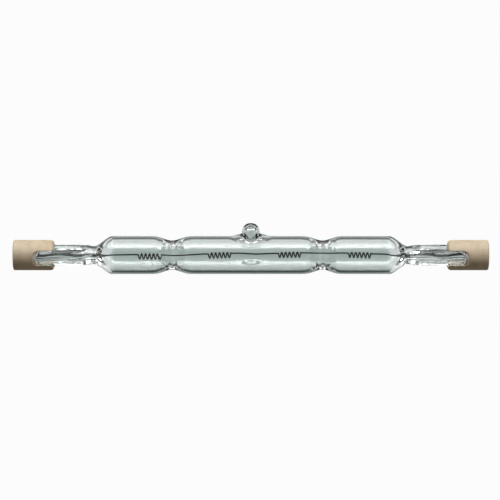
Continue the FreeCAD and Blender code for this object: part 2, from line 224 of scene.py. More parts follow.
def flat_sheet(half: Pair, level: float, steps: int) -> Skin:
    """A level sheet that faces up, divided evenly.

    Args:
        half: half sizes along X and Y in metres.
        level: its Z in metres.
        steps: number of quads each way.

    Returns:
        The sheet's skin.
    """
    x, y = (size / MM * np.linspace(-1.0, 1.0, steps + 1) for size in half)
    skin = Skin()
    skin.add_band(skin.add_points(stacked(x[:, None], y, level / MM)), closed=False)
    return skin


# Finishes.

def linear(colour: str) -> tuple[float, float, float, float]:
    """An sRGB hex colour as linear red, green, blue and a full alpha."""
    channels = [int(colour[i:i + 2], 16) / 255 for i in (1, 3, 5)]
    return (*(c / 12.92 if c <= 0.04045 else ((c + 0.055) / 1.055) ** 2.4 for c in channels), 1.0)


def add_node(tree: NodeTree, kind: str, inputs: dict | None = None,
             stops: Stops = (), **settings: object) -> Node:
    """Add a node with its settings and links.

    Args:
        tree: node tree that takes the node.
        kind: the node's type name, without the word ShaderNode that it starts with.
        inputs: by input name or number, a value, a socket to link, or a node, which stands for its
            first output.
        stops: places and sRGB colours of a colour ramp, its two ends first.
        settings: properties of the node.

    Returns:
        The new node.
    """
    node = tree.nodes.new(f"ShaderNode{kind}")
    for name, value in settings.items():
        setattr(node, name, value)
    for number, (place, colour) in enumerate(stops):
        elements = node.color_ramp.elements
        element = elements[number] if number < 2 else elements.new(place)
        element.position, element.color = place, linear(colour)
    for name, value in (inputs or {}).items():
        source = value.outputs[0] if isinstance(value, Node) else value
        if isinstance(source, NodeSocket):
            tree.links.new(source, node.inputs[name])
        else:
            node.inputs[name].default_value = source
    return node


def pattern(tree: NodeTree, place: NodeSocket, size_mm: tuple[float, ...], kind: str,
            inputs: dict | None = None, **settings: object) -> Node:
    """Lay a texture over a piece, with its unit cell brought to a real size.

    Args:
        tree: node tree that takes the nodes.
        place: coordinates in metres.
        size_mm: size of the unit cell along X, Y and Z.
        kind: type name of the texture, as add_node takes it.
        inputs: further inputs of the texture.
        settings: properties of the texture.

    Returns:
        The texture's node.
    """
    scales = tuple(1.0 / (size * MM) for size in size_mm)
    placed = add_node(tree, "Mapping", {"Vector": place, "Scale": scales})
    return add_node(tree, kind, {"Vector": placed, "Scale": 1.0, **(inputs or {})}, **settings)


@dataclass(frozen=True)
class Finish:
    """A material: its name, and a tree that each kind of finish fills in its own way."""

    name: str

    def shader(self, tree: NodeTree, place: NodeSocket) -> Node:
        """Add the finish's nodes.

        Args:
            tree: node tree that takes the nodes.
            place: coordinates on the piece in metres.

        Returns:
            The last node.
        """
        raise NotImplementedError

    def make(self) -> Material:
        """Build the material."""
        material = bpy.data.materials.new(self.name)
        material.use_nodes = True
        tree = material.node_tree
        tree.nodes.clear()
        place = add_node(tree, "TexCoord").outputs["Object"]
        add_node(tree, "OutputMaterial", {"Surface": self.shader(tree, place)})
        return material


@dataclass(frozen=True)
class PatternedFinish(Finish):
    """A finish whose roughness and relief come from patterns, with the two ends of its roughness."""

    roughness: Pair

    def surface(self, tree: NodeTree, inputs: dict, rough: Node,
                *relief: tuple[Node | NodeSocket, float, float]) -> Node:
        """Shade the surface.

        Args:
            tree: node tree that takes the nodes.
            inputs: colour and the shader's other inputs.
            rough: pattern of the roughness.
            relief: layers from the lowest up: a pattern, its depth in millimetres and its strength.

        Returns:
            The shader's node.
        """
        low, high = self.roughness
        ranged = add_node(tree, "MapRange", {"Value": rough, "To Min": low, "To Max": high})
        inputs = {**inputs, "Roughness": ranged}
        normal = {}
        for height, depth_mm, strength in relief:
            normal = {"Normal": add_node(tree, "Bump", {
                "Height": height, "Distance": depth_mm * MM, "Strength": strength, **normal,
            })}
        return add_node(tree, "BsdfPrincipled", {**inputs, **normal})


@dataclass(frozen=True)
class FusedQuartz(PatternedFinish):
    """Clear fused quartz, drawn as tube and pressed hot.

    To the eye it is clear with a faint grey-green body, and has long, very shallow draw lines that
    make its reflections waver a little.
    """

    name: str = "fused_quartz_drawn_and_pressed"
    roughness: Pair = (0.0, 0.012)
    tint: str = "#FAFCFC"
    ior: float = 1.459
    draw_line_mm: Triple = (26.0, 0.9, 0.9)
    draw_depth_mm: float = 0.012
    haze_mm: Triple = (6.0, 4.0, 4.0)

    def shader(self, tree: NodeTree, place: NodeSocket) -> Node:
        """Draw lines in the bump, and a trace of haze in the roughness."""
        lines = pattern(tree, place, self.draw_line_mm, "TexNoise", {"Detail": 2.0})
        haze = pattern(tree, place, self.haze_mm, "TexNoise", {"Detail": 4.0})
        clear = {"Base Color": linear(self.tint), "IOR": self.ior, "Transmission Weight": 1.0}
        return self.surface(tree, clear, haze, (lines, self.draw_depth_mm, 0.35))


@dataclass(frozen=True)
class FineMetal(PatternedFinish):
    """A bare metal with a fine grain: a stain in its colour, and lines that catch the light.

    The grain lies along the way that the metal was drawn, rolled or coiled, so a highlight on it is
    broken into short streaks.
    """

    dark: str
    light: str
    stain_mm: Triple
    line_mm: Triple
    line_depth_mm: float = 0.008

    def shader(self, tree: NodeTree, place: NodeSocket) -> Node:
        """Stain in the colour, lines in the roughness and the bump."""
        stain = pattern(tree, place, self.stain_mm, "TexNoise", {"Detail": 3.0})
        lines = pattern(tree, place, self.line_mm, "TexNoise", {"Detail": 3.0})
        colour = add_node(tree, "ValToRGB", {"Fac": stain}, ((0.3, self.dark), (0.7, self.light)))
        metal = {"Base Color": colour, "Metallic": 1.0}
        return self.surface(tree, metal, lines, (lines, self.line_depth_mm, 0.45))


@dataclass(frozen=True)
class FiredSteatite(PatternedFinish):
    """Steatite, dry-pressed, turned and fired without a glaze.

    To the eye it is a matt, warm beige with fine grain, faint darker flecks and shallow turning
    marks round its axis.
    """

    name: str = "steatite_fired_unglazed"
    roughness: Pair = (0.62, 0.82)
    body: str = "#C0AE90"
    warm: str = "#C9B795"
    shade: str = "#AF9A7D"
    fleck: str = "#8E7A60"
    grain_mm: float = 0.16
    grain_depth_mm: float = 0.03
    cloud_mm: Triple = (2.2, 3.0, 3.0)
    turning_pitch_mm: float = 0.42
    turning_depth_mm: float = 0.02

    def shader(self, tree: NodeTree, place: NodeSocket) -> Node:
        """Clouds and flecks in the colour, grain and turning marks in the bump.

        A wave repeats each tenth of pi of its unit cell, hence the cell of the turning marks.
        """
        cloud = pattern(tree, place, self.cloud_mm, "TexNoise", {"Detail": 4.0})
        grain = pattern(tree, place, (self.grain_mm,) * 3, "TexNoise", {"Detail": 4.0})
        cell = self.turning_pitch_mm * 10.0 / math.pi
        turned = pattern(
            tree, place, (cell,) * 3, "TexWave",
            {"Distortion": 2.5, "Detail": 3.0, "Detail Scale": 1.2},
            wave_type="BANDS", bands_direction="X",
        )
        bodies = ((0.25, self.shade), (0.8, self.warm), (0.5, self.body))
        colour = add_node(tree, "ValToRGB", {"Fac": cloud}, bodies)
        specks = ((0.28, self.fleck), (0.38, "#FFFFFF"))
        flecks = add_node(tree, "ValToRGB", {"Fac": grain}, specks)
        mixed = add_node(
            tree, "Mix", {0: 0.45, 6: colour, 7: flecks}, data_type="RGBA", blend_type="MULTIPLY",
        )
        return self.surface(
            tree, {"Base Color": mixed.outputs[2], "IOR": 1.6}, grain,
            (turned.outputs["Fac"], self.turning_depth_mm, 0.35),
            (grain, self.grain_depth_mm, 0.45),
        )


@dataclass(frozen=True)
class CeramicCement(PatternedFinish):
    """Ceramic cement, filled wet and set: chalky off-white with coarse grains and small pits."""

    name: str = "ceramic_cement_set"
    roughness: Pair = (0.75, 0.95)
    pale: str = "#F4F1E8"
    dark: str = "#CFC7B6"
    grain_mm: float = 0.22
    grain_depth_mm: float = 0.06
    pit_mm: float = 0.1
    pit_depth_mm: float = 0.03

    def shader(self, tree: NodeTree, place: NodeSocket) -> Node:
        """Grains in the colour and the bump, pits in the bump and the roughness."""
        grains = pattern(tree, place, (self.grain_mm,) * 3, "TexVoronoi")
        pits = pattern(tree, place, (self.pit_mm,) * 3, "TexNoise", {"Detail": 4.0})
        colour = add_node(tree, "ValToRGB", {"Fac": grains}, ((0.1, self.pale), (0.75, self.dark)))
        return self.surface(
            tree, {"Base Color": colour, "IOR": 1.5}, pits,
            (pits, self.pit_depth_mm, 0.5), (grains, self.grain_depth_mm, 0.6),
        )


@dataclass(frozen=True)
class NickelPlate(PatternedFinish):
    """Nickel plate on a turned contact: warm bright metal with fine rings round its centre."""

    name: str = "nickel_plate_turned"
    roughness: Pair = (0.22, 0.42)
    dark: str = "#8C8474"
    light: str = "#BDB5A4"
    ring_mm: float = 0.11
    ring_depth_mm: float = 0.01
    stain_mm: float = 0.8

    def shader(self, tree: NodeTree, place: NodeSocket) -> Node:
        """Stain in the colour and the roughness, turned rings in the bump.

        The rings go by the place across the contact only, with X left out.
        """
        split = add_node(tree, "SeparateXYZ", {"Vector": place}).outputs
        across = add_node(tree, "CombineXYZ", {"Y": split["Y"], "Z": split["Z"]})
        rings = pattern(
            tree, across.outputs[0], (self.ring_mm * 10.0 / math.pi,) * 3, "TexWave",
            {"Distortion": 1.0, "Detail": 2.0}, wave_type="RINGS", rings_direction="SPHERICAL",
        )
        stain = pattern(tree, place, (self.stain_mm,) * 3, "TexNoise", {"Detail": 4.0})
        colour = add_node(tree, "ValToRGB", {"Fac": stain}, ((0.3, self.dark), (0.65, self.light)))
        metal = {"Base Color": colour, "Metallic": 1.0}
        return self.surface(tree, metal, stain, (rings.outputs["Fac"], self.ring_depth_mm, 0.4))


# The bulb.

def place_piece(skin: Skin, name: str, material: Material, node: str,
                side: Side | None = None) -> None:
    """Make a piece that rides on the body and stands for a node.

    Args:
        skin: the piece's surface, at the right end if there is one at each end.
        name, node: names of the piece and the node, without the end of the bulb.
        material: its material.
        side: the end that it is for, where there is one at each end.
    """
    if side is not None:
        name, node = f"{name}_{side.label}", f"{node}_{side.label}"
    piece = (skin.mirrored() if side is Side.LEFT else skin).make(name)
    piece.data.materials.append(material)
    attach(piece, BODY)
    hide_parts(node)
    log.info("%s: %d faces", name, len(piece.data.polygons))


@dataclass(frozen=True)
class Tip:
    """The exhaust tip on one face of the glass: its dome, and the patch that runs up to it.

    The patch fills a rectangle of the wall, which reaches to the edge along X and by so many
    columns each way, up to a circle at the foot. The leads are where the curve from there to the
    dome has its middle point: out from the dome and up from the patch.
    """

    radius: float
    centre: float
    rise: float
    power: float
    foot: float
    edge: float
    columns: int
    steps: int
    dome_rows: int = 22
    patch_rows: int = 16
    curve_rows: int = 8
    lead_out: float = 0.04
    lead_up: float = 0.1

    def dome(self) -> Array:
        """Rows of radius and height: radius by cosine and rise by sine, each raised to the power."""
        quarter = np.linspace(0.0, math.pi / 2, self.dome_rows)
        return stacked(
            self.radius * np.cos(quarter) ** self.power,
            self.centre + self.rise * np.sin(quarter) ** self.power,
        )


@dataclass
class Envelope:
    """The quartz envelope: tube, two pressed necks, shoulders, press seals and exhaust tip.

    A pair of halves is the half depth along Y and the half height along Z.
    """

    tube: float = 4.7
    bore: float = 3.95
    shoulder: float = 34.2
    waist: float = 39.0
    blade: float = 43.4
    seal_end: float = 53.1
    waist_half: Pair = (3.0, 2.15)
    seal_half: Pair = (3.65, 1.9)
    seal_corner: float = 1.6
    end_share: Pair = (0.94, 0.9)
    squareness: float = 7.5
    seam_level: float = -0.55
    seam_depth: float = 0.25
    seam_width: float = 0.17
    seam_wave: float = 0.08
    ripple: float = 0.08
    mark: float = 0.03
    mark_lead: float = 1.5
    mark_run: float = 2.5
    mark_fade: float = 20.0
    flat_half: float = 2.4
    flat_edge: float = 0.8
    groove_start: float = 41.0
    groove_half: float = 1.85
    groove_bottom: float = 1.2
    groove_edge: float = 0.3
    necks: Pair = (-19.5, 17.75)
    neck_reach: float = 6.0
    neck_half: Pair = (2.4, 3.7)
    neck_bore_half: Pair = (1.3, 2.3)
    neck_ripple: float = 0.18
    neck_ripple_mm: float = 1.4
    cavity_depth: float = 3.7
    cavity_half: Pair = (0.6, 0.35)
    cavity_point: float = 0.7
    cavity_rows: int = 20
    flare_reach: Pair = (5.3, 4.05)
    flare_rise: float = 1.1
    flare_soft: float = 0.25
    knob: Tip = Tip(2.1, 6.0, 2.1, 0.82, foot=3.5, edge=5.7, columns=24, steps=40)
    hollow: Tip = Tip(1.2, 5.8, 1.1, 0.65, foot=1.7, edge=2.6, columns=16, steps=24)
    sides: int = 176
    crowding: float = 0.15
    end_steps: tuple[int, ...] = (24, 26, 40, 12)
    neck_steps: int = 36
    plain_steps: int = 3

    def necked(self, x: Array) -> Array:
        """Share of a neck's dent at x: the square of a raised cosine over the reach of each."""
        share = np.zeros_like(x)
        for middle in self.necks:
            away = np.clip(np.abs(x - middle) / self.neck_reach, 0.0, 1.0)
            share += ((1 + np.cos(math.pi * away)) / 2) ** 2
        return share

    def outer_section(self, x: Array) -> tuple[Array, Array, Array]:
        """Half depth, half height and exponent of the outside at x.

        The tube goes to the waist and the waist to the blade of the seal by soft steps, the
        exponent grows from a round to a nearly square section along the second, each neck takes
        its share off, and a quarter round closes the blade's height at its outer end.

        Args:
            x: places of the rings.

        Returns:
            The three, each with one value for each ring.
        """
        far = np.abs(x)
        down = smooth_step((far - self.shoulder) / (self.waist - self.shoulder))
        along = np.clip((far - self.waist) / (self.blade - self.waist), 0.0, 1.0)
        dent = self.necked(x)
        halves = []
        for waist, seal, neck in zip(self.waist_half, self.seal_half, self.neck_half):
            half = between(self.tube, waist, down) + (seal - waist) * smooth_step(along)
            halves.append(half - (self.tube - neck) * dent)
        depth, height = halves
        short = np.clip((far - self.seal_end + self.seal_corner) / self.seal_corner, 0.0, 1.0)
        height = height - self.seal_corner * (1 - np.sqrt(1 - short ** 2))
        return depth, height, between(2.0, self.squareness, along)

    def rings(self, x: Array, depth: Array, height: Array, power: Array) -> Array:
        """Sections round X, from the underside over the back: a superellipse by its polar angle.

        The reach at an angle is the sum of |sin| and |cos| to the power, to the power of minus one
        over it; Y is half depth times sine times reach, and Z half height times cosine times reach.
        The angles crowd towards the sides by a sine of twice the angle.

        Args:
            x: places of the sections.
            depth, height: their half sizes.
            power: their exponents, where 2 is an ellipse.

        Returns:
            One row of points for each section.
        """
        angle = -math.pi + np.arange(self.sides) * TURN / self.sides
        angle = angle + self.crowding * np.sin(2 * angle)
        sine, cosine = np.sin(angle), np.cos(angle)
        power = power[:, None]
        reach = (np.abs(sine) ** power + np.abs(cosine) ** power) ** (-1.0 / power)
        return stacked(x[:, None], depth[:, None] * sine * reach, height[:, None] * cosine * reach)

    def pressed(self, points: Array) -> Array:
        """Press the grooves, the flow marks and the parting line of the jaws into the seals.

        The groove brings Z to the web inside a long U, by a soft step of the distance to the U's
        edge. The marks on the flats are sine waves, one crossed and one lengthwise, and die out
        under the left seal. The sides have lengthwise ripples, and the parting line is a groove
        along them with a bell-shaped section. Numbers beside x, y and z are radians to the
        millimetre.

        Args:
            points: rings of the plain outside.

        Returns:
            The same rings, pressed.
        """
        x, y, z = points[..., 0], points[..., 1], points[..., 2]
        far = np.abs(x)
        middle = self.groove_start + self.groove_half
        inside = self.groove_half - np.hypot(np.clip(middle - far, 0.0, None), y)
        press = smooth_step(inside / self.groove_edge + 0.5)
        level = np.abs(z) + press * np.minimum(self.groove_bottom - np.abs(z), 0.0)
        sealed = smooth_step((far - self.waist + self.mark_lead) / self.mark_run)
        marks = np.sin(2.3 * x + 1.7 * y) * np.sin(1.1 * x - 5.2 * y) + np.sin(6.0 * y + 0.5 * x)
        marks = marks * np.where(z > 0, 1.0, smooth_step(0.5 + x / self.mark_fade))
        level = np.maximum(level - sealed * self.mark * (2.0 + marks), 0.0)
        beside = sealed * smooth_step((np.abs(y) - self.flat_half) / self.flat_edge)
        seam_z = self.seam_level + self.seam_wave * np.sin(0.9 * x)
        seam = self.seam_depth * np.exp(-((z - seam_z) / self.seam_width) ** 2)
        ripples = self.ripple * (1.0 + np.sin(5.5 * z + 0.8 * np.sin(0.7 * x)))
        return stacked(x, np.sign(y) * (np.abs(y) - beside * (ripples + seam)), np.sign(z) * level)

    def straight_runs(self, tip: Tip) -> tuple[tuple[float, ...], tuple[int, ...]]:
        """Runs of stations from shoulder to shoulder, close together in the necks and the tip.

        Args:
            tip: form of the tip on that face of the glass.

        Returns:
            The ends of the runs, and the number of steps in each.
        """
        left, right = self.necks
        reach, plain, neck = self.neck_reach, self.plain_steps, self.neck_steps
        places = (
            -self.shoulder, left - reach, left + reach, -tip.edge,
            tip.edge, right - reach, right + reach, self.shoulder,
        )
        return places, (plain, neck, plain, tip.steps, plain, neck, plain)

    def outer_rings(self) -> Array:
        """Rings of the outside, close together where the section changes."""
        places, steps = self.straight_runs(self.knob)
        ends = (self.waist, self.blade, self.seal_end - self.seal_corner, self.seal_end)
        x = joined_stations(
            (*(-place for place in ends[::-1]), *places, *ends),
            (*self.end_steps[::-1], *steps, *self.end_steps),
        )
        return self.pressed(self.rings(x, *self.outer_section(x)))

    def inner_rings(self) -> Array:
        """Rings of the cavity: the bore, its slots in the necks and its two blunt ends.

        At an end the half sizes close by one less the cosine of a quarter turn, and x is the
        shoulder plus the depth times that share to a power. In a neck a fine sine of x, times the
        neck's share, is added to both half sizes.
        """
        quarter = np.linspace(math.pi / 2, 0.0, self.cavity_rows, endpoint=False)
        share = 1 - np.cos(quarter)
        ends = self.shoulder + self.cavity_depth * share ** self.cavity_point
        straight = joined_stations(*self.straight_runs(self.hollow))
        dent = self.necked(straight)
        ripple = self.neck_ripple * dent * np.sin(TURN * straight / self.neck_ripple_mm)
        halves = []
        for end, neck in zip(self.cavity_half, self.neck_bore_half):
            closed = between(self.bore, end, share)
            along = self.bore - (self.bore - neck) * dent + ripple
            halves.append(np.concatenate([closed, along, closed[::-1]]))
        x = np.concatenate([-ends, straight, ends[::-1]])
        return self.rings(x, *halves, np.full(len(x), 2.0))

    def lift(self, x: Array, y: Array) -> Array:
        """Rise of the flare over the tube: a cone with a soft foot.

        It is the hypotenuse of the share left to the edge and the softness, less the softness, and
        is brought to the flare's height where the share is one.

        Args:
            x, y: places on the plan.

        Returns:
            The rise at each.
        """
        length, width = self.flare_reach
        inner, soft = self.knob.radius, self.flare_soft
        away = (np.hypot(x, y * (length / width)) - inner) / (length - inner)
        share = 1 - np.clip(away, 0.0, 1.0)
        return self.flare_rise * (np.hypot(share, soft) - soft) / (math.hypot(1.0, soft) - soft)

    def add_wall(self, skin: Skin, points: Array, radius: float, tip: Tip, inward: bool) -> Array:
        """Add the outside or the cavity, with a rectangle at its top that carries the tip.

        Args:
            skin: skin that takes it.
            points: its rings.
            radius: radius of the tube or the bore.
            tip: form of the tip on this face of the glass.
            inward: whether the faces point into the cavity.

        Returns:
            The vertex numbers of the rings.
        """
        numbers = skin.add_points(points)
        quads = quads_between(numbers, True)
        x = points[:, 0, 0]
        first = int(np.argmin(np.abs(x + tip.edge)))
        last = int(np.argmin(np.abs(x - tip.edge)))
        low, high = self.sides // 2 - tip.columns, self.sides // 2 + tip.columns
        keep = np.ones(quads.shape[:2], dtype=bool)
        keep[first:last, low:high] = False
        skin.add_faces(quads[keep], flipped=inward)
        border = np.concatenate([
            numbers[first, low:high], numbers[first:last, high],
            numbers[last, high:low:-1], numbers[last:first:-1, low],
        ])
        places = points.reshape(-1, 3)[border - numbers[0, 0]]
        raised = skin.add_points(self.raised_rows(places, radius, tip, not inward))
        rows = np.concatenate([border[None], raised])
        skin.add_band(rows, flipped=inward)
        skin.add_fan(rows[-1], np.array([0.0, 0.0, tip.centre + tip.rise]), flipped=inward)
        return numbers

    def raised_rows(self, places: Array, radius: float, tip: Tip, flared: bool) -> Array:
        """Rows of points that close the rectangle and run up into the tip.

        On the plan, each row of the patch lies by an even share between the border and the tip's
        foot; its height is the tube's, and where it is flared the flare's is added. From the foot a
        quadratic curve leads into the dome, whose rows follow up to its pole.

        Args:
            places: points round the border of the rectangle, in order.
            radius: radius of the tube or the bore.
            tip: form of the tip.
            flared: whether the patch rises as the outer flare does.

        Returns:
            The rows, from the border's neighbour to the pole's.
        """
        heading = np.arctan2(places[:, 1], places[:, 0])
        cosine, sine = np.cos(heading), np.sin(heading)
        share = np.linspace(0.0, 1.0, tip.patch_rows + 1)[1:, None, None]
        plan = (1 - share) * places[:, :2] + share * (tip.foot * stacked(cosine, sine))
        height = np.sqrt(radius ** 2 - plan[..., 1] ** 2)
        if flared:
            height = height + self.lift(plan[..., 0], plan[..., 1])
        dome = tip.dome()
        start = height[-1]
        rise = np.linspace(0.0, 1.0, tip.curve_rows + 1)[1:]
        out = bezier(tip.foot, dome[0, 0] + tip.lead_out, dome[0, 0], rise)
        up = bezier(start, start + tip.lead_up, dome[0, 1], rise)
        out = np.concatenate([out, dome[1:-1, :1]])
        up = np.concatenate([up, dome[1:-1, 1:] * np.ones_like(start)])
        return np.concatenate([
            stacked(plan[..., 0], plan[..., 1], height), stacked(out * cosine, out * sine, up),
        ])

    def build(self, finish: Material) -> None:
        """Build the envelope as one closed skin, outside and cavity together."""
        skin = Skin()
        outside = self.outer_rings()
        numbers = self.add_wall(skin, outside, self.tube, self.knob, inward=False)
        for row, sign in ((0, -1), (-1, 1)):
            ring = skin.add_points(outside[row] * (1.0, *self.end_share))
            skin.add_band(np.stack([numbers[row], ring]), flipped=sign < 0)
            skin.add_fan(ring, np.array([sign * self.seal_end, 0.0, 0.0]), flipped=sign < 0)
        inside = self.inner_rings()
        numbers = self.add_wall(skin, inside, self.bore, self.hollow, inward=True)
        for row in (0, -1):
            skin.add_fan(numbers[row], np.array([inside[row, 0, 0], 0.0, 0.0]), flipped=row < 0)
        place_piece(skin, "quartz_envelope", finish, "envelope")


@dataclass
class Filament:
    """The segmented filament: four open coils of a fine primary coil, joined by straight legs."""

    coils: tuple[float, ...] = (-25.055, -7.705, 9.645, 26.995)
    turns: int = 6
    pitch: float = 0.97
    coil_radius: float = 0.62
    axis_drop: float = 0.44
    end: float = 36.6
    level_places: tuple[float, ...] = (
        -36.6, -35.4, -29.1, -21.6, -18.7, -15.7, -12.0, -10.9, -4.5, -3.1, 1.4, 5.9, 13.3, 15.5,
        19.2, 22.9, 30.4, 33.0, 34.1, 35.3, 36.6,
    )
    levels: tuple[float, ...] = (
        -0.2, 0.0, 0.12, 0.05, -0.08, 0.03, 0.26, 0.28, 0.46, 0.5, 0.26, 0.44, 0.58, 0.56,
        0.52, 0.54, 0.3, 0.26, 0.18, -0.05, -0.2,
    )
    strand: float = 0.2
    wire: float = 0.025
    wire_pitch: float = 0.2
    step: float = 0.04
    soften: float = 0.12
    bend: float = 0.15
    sides: int = 8
    turn_steps: int = 48
    leg_points: int = 60

    def path(self) -> Array:
        """Middle line of the strand, in even steps.

        The legs follow the levels, which rise and sag a little from place to place. Round a coil X
        grows with the angle by one pitch a turn, Y is minus the radius times the sine, and Z is the
        level less the drop of the axis plus the radius times the cosine. The line is then evened
        out over a short run, which rounds the bends into the legs.
        """
        entry = math.acos(self.axis_drop / self.coil_radius)
        angle = np.linspace(entry, TURN * self.turns - entry, self.turns * self.turn_steps + 1)
        edges = [-self.end]
        rounds = []
        for middle in self.coils:
            x = middle + self.pitch * (angle / TURN - self.turns / 2)
            edges += [x[0] - self.bend, x[-1] + self.bend]
            rounds.append(stacked(
                x, -self.coil_radius * np.sin(angle), self.coil_radius * np.cos(angle) - self.axis_drop
            ))
        edges.append(self.end)
        line = []
        for number, (start, end) in enumerate(zip(edges[::2], edges[1::2])):
            line.append(stacked(np.linspace(start, end, self.leg_points), 0.0, 0.0))
            line += rounds[number:number + 1]
        points = np.concatenate(line)
        points[:, 2] += np.interp(points[:, 0], self.level_places, self.levels)
        gaps = np.linalg.norm(np.diff(points, axis=0), axis=1)
        far = np.concatenate([[0.0], np.cumsum(gaps)])
        even = np.arange(0.0, far[-1], self.step)
        width = 2 * int(self.soften / self.step) + 1
        kernel = np.hanning(width + 2)[1:-1]
        kernel = kernel / kernel.sum()
        soft = []
        for axis in range(3):
            padded = np.pad(np.interp(even, far, points[:, axis]), width // 2, mode="edge")
            soft.append(np.convolve(padded, kernel, mode="valid"))
        return stacked(*soft)

    def build(self, finish: Material) -> None:
        """Build the strand: a tube along the path whose skin is wound with a fine ridge.

        Round the path, the radius is the strand's plus the wire's times the cosine of the angle
        less the wire's own turn along the strand, so one ridge winds along it as a screw.
        """
        path = self.path()
        along = np.gradient(path, axis=0)
        along = along / np.linalg.norm(along, axis=1, keepdims=True)
        across = np.cross(along, np.array([0.0, 0.0, 1.0]))
        across = across / np.linalg.norm(across, axis=1, keepdims=True)
        up = np.cross(across, along)
        angle = (np.arange(self.sides) * TURN / self.sides)[:, None]
        wound = (np.arange(len(path)) * self.step / self.wire_pitch * TURN)[:, None, None]
        radius = self.strand - self.wire + self.wire * np.cos(angle - wound)
        round_path = np.cos(angle) * across[:, None] + np.sin(angle) * up[:, None]
        skin = Skin()
        skin.add_tube(path[:, None] + radius * round_path, path[0], path[-1])
        place_piece(skin, "coiled_filament", finish, "filament")


@dataclass
class SealMetals:
    """Leads and foil in the seal of one end."""

    side: Side
    drop: float = 0.2
    inner: Pair = (36.6, 43.1)
    inner_radius: float = 0.32
    outer: Pair = (47.5, 56.3)
    outer_radius: float = 0.35
    end_round: float = 0.35
    rod_sides: int = 24
    rod_stations: int = 48
    foil: Pair = (42.0, 48.6)
    foil_half_width: float = 1.25
    foil_half_thickness: float = 0.025
    foil_stations: int = 67
    foil_columns: int = 25
    feather: float = 0.35
    feather_edge: float = 0.08
    crimp: float = 0.03
    crimp_pitch: float = 1.5
    weld_over: float = 1.0
    weld_edge: float = 0.15

    def rod(self, start: float, end: float, radius: float, weld: Pair) -> Skin:
        """A drawn rod with rounded ends, flattened under the foil along its weld.

        Args:
            start, end: its ends along X.
            radius: its radius.
            weld: ends of the flat along X.

        Returns:
            The rod of the right end.
        """
        turn = np.linspace(0.0, math.pi / 2, 5)
        rounding = radius * self.end_round
        inset = rounding * (1 - np.cos(turn))
        rim = radius - rounding + rounding * np.sin(turn)
        straight = np.linspace(start + rounding, end - rounding, self.rod_stations)[1:-1]
        x = np.concatenate([[start], start + inset, straight, (end - inset)[::-1], [end]])
        reach = np.concatenate([[0.0], rim, np.full(len(straight), radius), rim[::-1], [0.0]])
        skin = lathe(stacked(x, reach), self.rod_sides, self.drop)
        points = skin.points[0]
        welded = smooth_step((points[:, 0] - weld[0]) / self.weld_edge + 0.5)
        welded = welded * smooth_step((weld[1] - points[:, 0]) / self.weld_edge + 0.5)
        over = np.clip(points[:, 2] + self.foil_half_thickness, 0.0, None)
        points[:, 2] -= over * welded
        return skin

    def strip(self) -> Skin:
        """The foil: a lens section along X, with its edges feathered and light crimps across it.

        Half the thickness falls off straight to the edge over the feather, and the middle of the
        sheet waves by a sine of X that dies out at both ends.
        """
        start, end = self.foil
        x = np.linspace(start, end, self.foil_stations)[:, None]
        y = self.foil_half_width * np.sin(np.linspace(-1.0, 1.0, self.foil_columns) * math.pi / 2)
        left = (self.foil_half_width - np.abs(y)) / self.feather
        half = self.foil_half_thickness * np.clip(left, self.feather_edge, 1.0)
        loop_y = np.concatenate([y, y[::-1]])
        loop_z = np.concatenate([half, -half[::-1]])
        fade = np.sin(math.pi * (x - start) / (end - start)) ** 0.5
        wave = self.crimp * fade * np.sin(TURN * x / self.crimp_pitch)
        skin = Skin()
        skin.add_tube(
            stacked(x, loop_y, loop_z + wave),
            np.array([start, 0.0, 0.0]), np.array([end, 0.0, 0.0]), flipped=True,
        )
        return skin

    def build(self, rods: Material, sheet: Material) -> None:
        """Build the two leads and the foil of this end."""
        inner_weld = self.foil[0], self.inner[1] + self.weld_over
        outer_weld = self.outer[0] - self.weld_over, self.foil[1]
        for node, skin, finish in (
            ("inner_lead", self.rod(*self.inner, self.inner_radius, inner_weld), rods),
            ("outer_lead", self.rod(*self.outer, self.outer_radius, outer_weld), rods),
            ("foil", self.strip(), sheet),
        ):
            place_piece(skin, f"sealed_{node}", finish, node, self.side)


